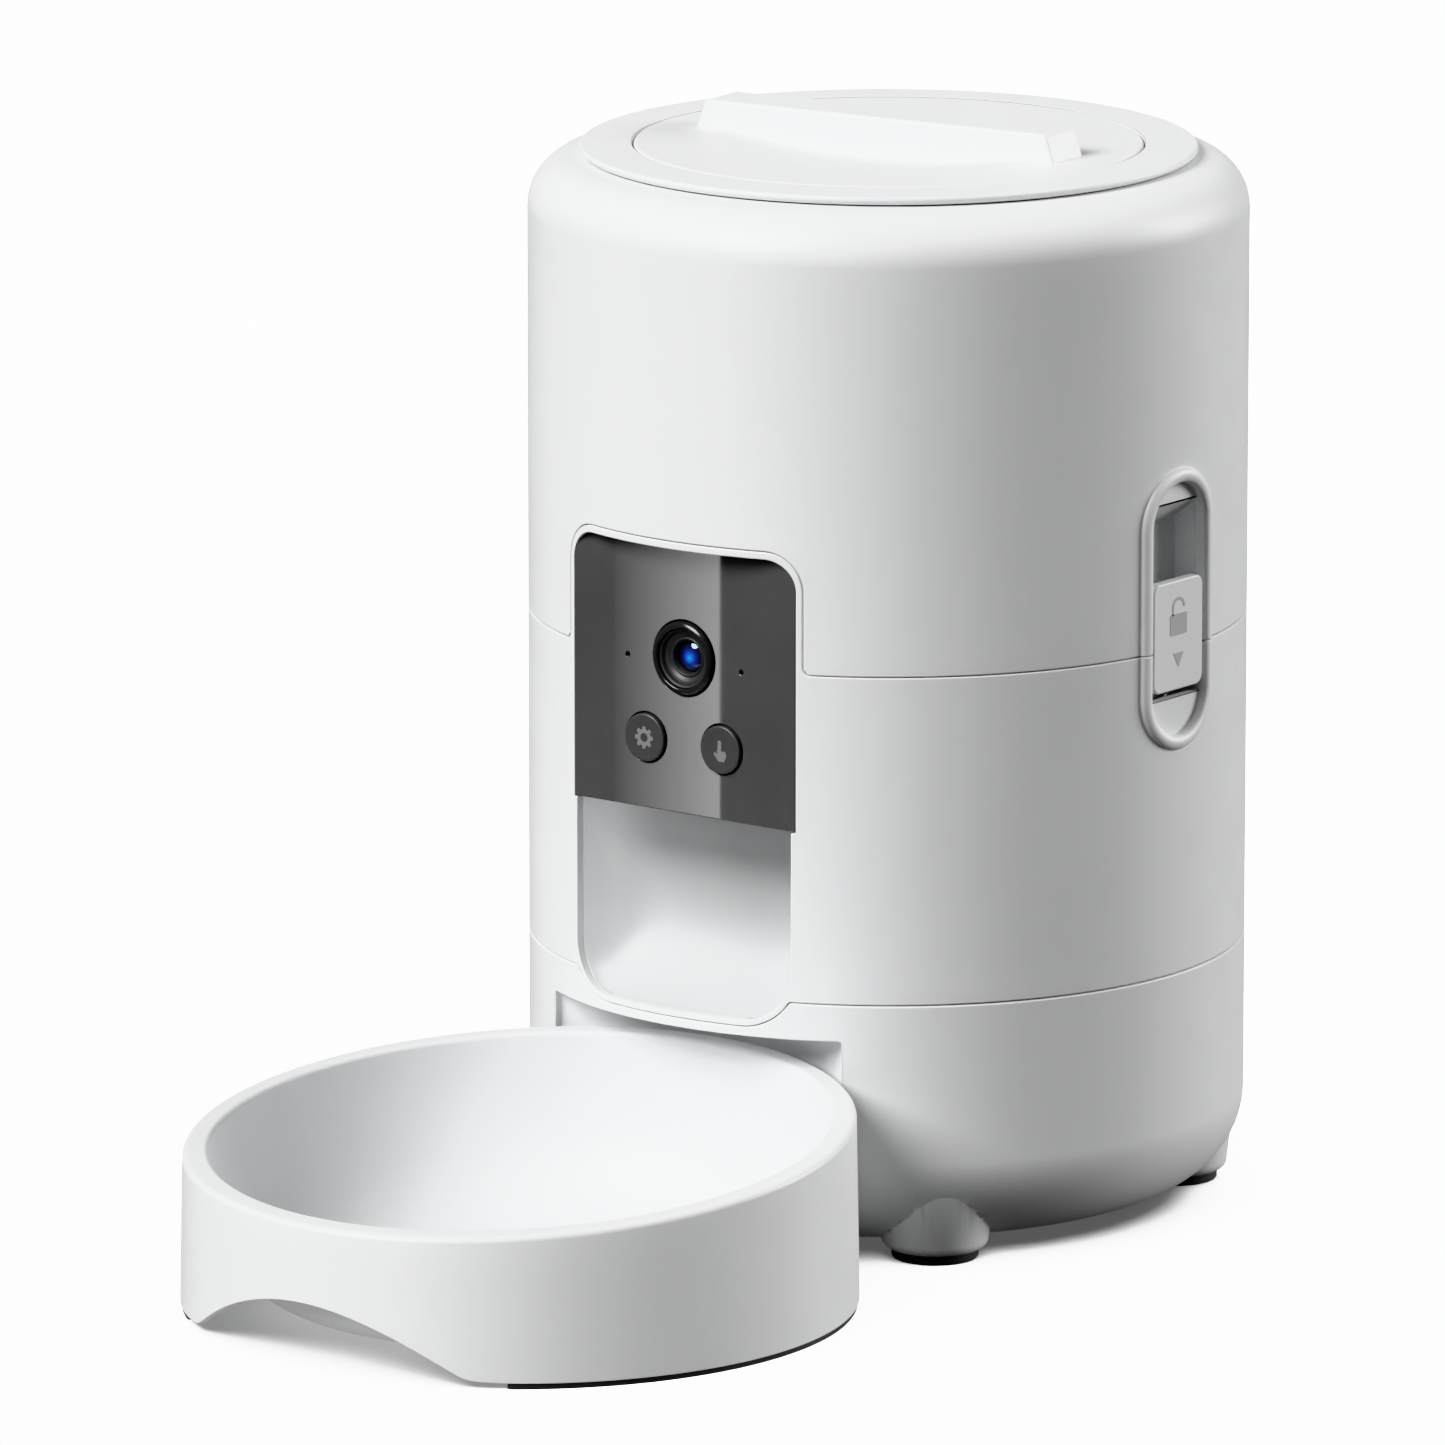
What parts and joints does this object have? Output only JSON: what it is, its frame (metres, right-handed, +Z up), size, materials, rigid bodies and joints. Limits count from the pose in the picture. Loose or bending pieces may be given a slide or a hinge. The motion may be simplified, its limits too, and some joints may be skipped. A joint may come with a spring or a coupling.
{
  "type": "automatic pet feeder",
  "caption": "Round white automatic pet feeder with a camera panel, side latches, a turning lid knob, a motor rotor and a loose tilted bowl.",
  "frame": {"origin": "centre of the object's box at the level of the foot pads", "axes": "+Z up, -Y towards the bowl and the control panel, +X to the right seen from the front"},
  "size_m": [0.203, 0.3574, 0.305],
  "materials": {
    "white_plastic": "fine matte white moulding",
    "bin_plastic": "milky food-safe plastic",
    "black_gloss": "glossy dark grey front panel",
    "dark_plastic": "satin black plastic",
    "lens_glass": "coated camera glass",
    "light_pipe": "clear light pipe",
    "circuit_board": "green solder mask",
    "silicone": "grey silicone rubber",
    "rubber": "black rubber",
    "natural_plastic": "natural acetal",
    "steel": "plated steel",
    "cell_jacket": "plain blue battery jacket"
  },
  "bodies": {
    "base": {"base_shell": "white_plastic", "mid_shell": "white_plastic", "chute_duct": "white_plastic", "control_box_cover": "white_plastic", "rotor_well": "white_plastic", "control_panel": "black_gloss", "camera_bezel": "black_gloss", "camera_barrel": "dark_plastic", "microphone": "dark_plastic", "speaker": "dark_plastic", "power_jack": "dark_plastic", "camera_lens": "lens_glass", "status_light": "light_pipe", "control_board": "circuit_board", "main_board": "circuit_board", "motor_bracket": "natural_plastic", "motor": "steel", "foot_pad_1": "rubber", "case_screw_1": "steel", "foot_pad_2": "rubber", "case_screw_2": "steel", "foot_pad_3": "rubber", "case_screw_3": "steel", "foot_pad_4": "rubber", "case_screw_4": "steel", "motor_screw_1": "steel", "motor_screw_2": "steel", "battery_1": "cell_jacket", "battery_2": "cell_jacket", "battery_3": "cell_jacket", "latch_spring_right": "steel", "latch_spring_left": "steel", "battery_contacts_front": "steel", "battery_contacts_rear": "steel"},
    "hopper": {"hopper_shell": "white_plastic", "hopper_bin": "bin_plastic"},
    "lid": {"lid_frame": "white_plastic", "lid_seal": "silicone", "desiccant_cup": "white_plastic"},
    "lid_knob": {"lid_knob": "white_plastic"},
    "lid_bolt_1": {"lid_bolt_1": "natural_plastic"},
    "lid_bolt_2": {"lid_bolt_2": "natural_plastic"},
    "lid_bolt_3": {"lid_bolt_3": "natural_plastic"},
    "desiccant_cap": {"desiccant_cap": "white_plastic"},
    "latch_right": {"latch_tab_right": "white_plastic"},
    "latch_left": {"latch_tab_left": "white_plastic"},
    "set_button": {"set_button": "black_gloss"},
    "feed_button": {"feed_button": "black_gloss"},
    "rotor": {"rotor_shaft": "steel", "drive_gear": "natural_plastic", "food_rotor": "silicone", "stirrer": "white_plastic"},
    "motor_pinion": {"motor_pinion": "steel"},
    "bowl": {"bowl": "white_plastic", "bowl_foot_ring": "rubber"},
    "battery_cover": {"battery_cover": "white_plastic"}
  },
  "joints": [
    {"name": "hopper_lift", "type": "slide", "parent": "base", "child": "hopper", "axis": [0, 0, 1], "range_m": [0, 0.11]},
    {"name": "lid_lift", "type": "slide", "parent": "hopper", "child": "lid", "axis": [0, 0, 1], "range_m": [0, 0.06]},
    {"name": "knob_turn", "type": "hinge", "parent": "lid", "child": "lid_knob", "pos_m": [0, 0.07874, 0], "axis": [0, 0, 1], "range_deg": [0, 60]},
    {"name": "cap_turn", "type": "hinge", "parent": "lid", "child": "desiccant_cap", "pos_m": [0, 0.07874, 0], "axis": [0, 0, 1], "range_deg": [0, 40]},
    {"name": "bolt_slide_1", "type": "slide", "parent": "lid", "child": "lid_bolt_1", "axis": [-1, 0, 0], "range_m": [0, 0.00852]},
    {"name": "bolt_slide_2", "type": "slide", "parent": "lid", "child": "lid_bolt_2", "axis": [0.5, -0.866, 0], "range_m": [0, 0.00852]},
    {"name": "bolt_slide_3", "type": "slide", "parent": "lid", "child": "lid_bolt_3", "axis": [0.5, 0.866, 0], "range_m": [0, 0.00852]},
    {"name": "latch_press_right", "type": "slide", "parent": "base", "child": "latch_right", "axis": [0, 0, -1], "range_m": [0, 0.0022], "stiffness_N_per_m": 400, "springref_m": -0.004, "deforming": ["latch_spring_right"]},
    {"name": "latch_press_left", "type": "slide", "parent": "base", "child": "latch_left", "axis": [0, 0, -1], "range_m": [0, 0.0022], "stiffness_N_per_m": 400, "springref_m": -0.004, "deforming": ["latch_spring_left"]},
    {"name": "set_press", "type": "slide", "parent": "base", "child": "set_button", "axis": [0, 1, 0], "range_m": [0, 0.001], "stiffness_N_per_m": 800, "springref_m": -0.001},
    {"name": "feed_press", "type": "slide", "parent": "base", "child": "feed_button", "axis": [0, 1, 0], "range_m": [0, 0.001], "stiffness_N_per_m": 800, "springref_m": -0.001},
    {"name": "rotor_spin", "type": "hinge", "parent": "base", "child": "rotor", "pos_m": [0, 0.07874, 0], "axis": [0, 0, 1], "continuous": true},
    {"name": "pinion_spin", "type": "hinge", "parent": "base", "child": "motor_pinion", "pos_m": [0, 0.10874, 0], "axis": [0, 0, 1], "continuous": true},
    {"name": "bowl_pull", "type": "slide", "parent": "base", "child": "bowl", "axis": [0, -1, 0], "range_m": [0, 0.1]},
    {"name": "battery_cover_open", "type": "hinge", "parent": "base", "child": "battery_cover", "pos_m": [0, 0.12054, 0.0044], "axis": [1, 0, 0], "range_deg": [0, 80]}
  ],
  "couplings": [
    {"joint": "bolt_slide_1", "follows": "knob_turn", "m_per_rad": 0.0081169},
    {"joint": "bolt_slide_2", "follows": "knob_turn", "m_per_rad": 0.0081169},
    {"joint": "bolt_slide_3", "follows": "knob_turn", "m_per_rad": 0.0081169},
    {"joint": "pinion_spin", "follows": "rotor_spin", "ratio": -4}
  ]
}
